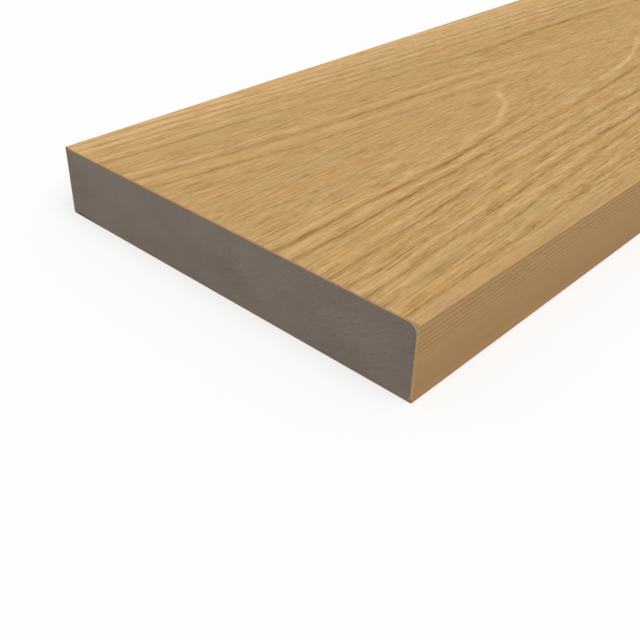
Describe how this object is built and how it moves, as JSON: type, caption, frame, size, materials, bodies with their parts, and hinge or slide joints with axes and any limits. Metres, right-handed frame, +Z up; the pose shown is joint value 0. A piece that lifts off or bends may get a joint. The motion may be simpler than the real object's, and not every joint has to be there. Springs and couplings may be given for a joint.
{
  "type": "composite decking board",
  "caption": "Solid composite decking board: a plain grey core wrapped along its length by a thin oak-grained cap, with square edges and sawn ends, laid flat across joists.",
  "frame": {"origin": "middle of the underside, half way along and half way across the board", "axes": "+X along the board's length, +Y across its width, +Z up out of the deck face"},
  "size_m": [2.4, 0.14, 0.023],
  "materials": {
    "core": "matte",
    "cap": "matte"
  },
  "bodies": {
    "root": {"core": "core", "cap": "cap"}
  },
  "joints": []
}
